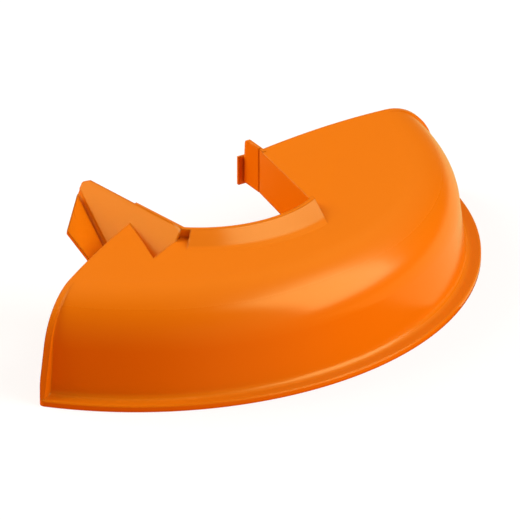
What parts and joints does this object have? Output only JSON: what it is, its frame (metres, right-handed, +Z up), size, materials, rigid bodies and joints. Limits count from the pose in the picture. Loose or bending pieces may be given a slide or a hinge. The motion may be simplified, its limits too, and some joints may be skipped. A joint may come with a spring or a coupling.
{
  "type": "trimmer blade guard",
  "caption": "Moulded half-round guard hood for a string trimmer, with a rim flange, a housing slot with a raised collar, a sloping bracket and a hook tab.",
  "frame": {"origin": "on the axis of the housing slot's round front, at the level of the rim's underside", "axes": "+Z up along the housing's axis, -Y along the middle line of the guard away from the operator, +X towards the hook's side"},
  "size_m": [0.3008, 0.162, 0.0592],
  "materials": {
    "orange_plastic": "satin-gloss moulded polypropylene, orange"
  },
  "bodies": {
    "root": {"blade_guard": "orange_plastic"}
  },
  "joints": []
}
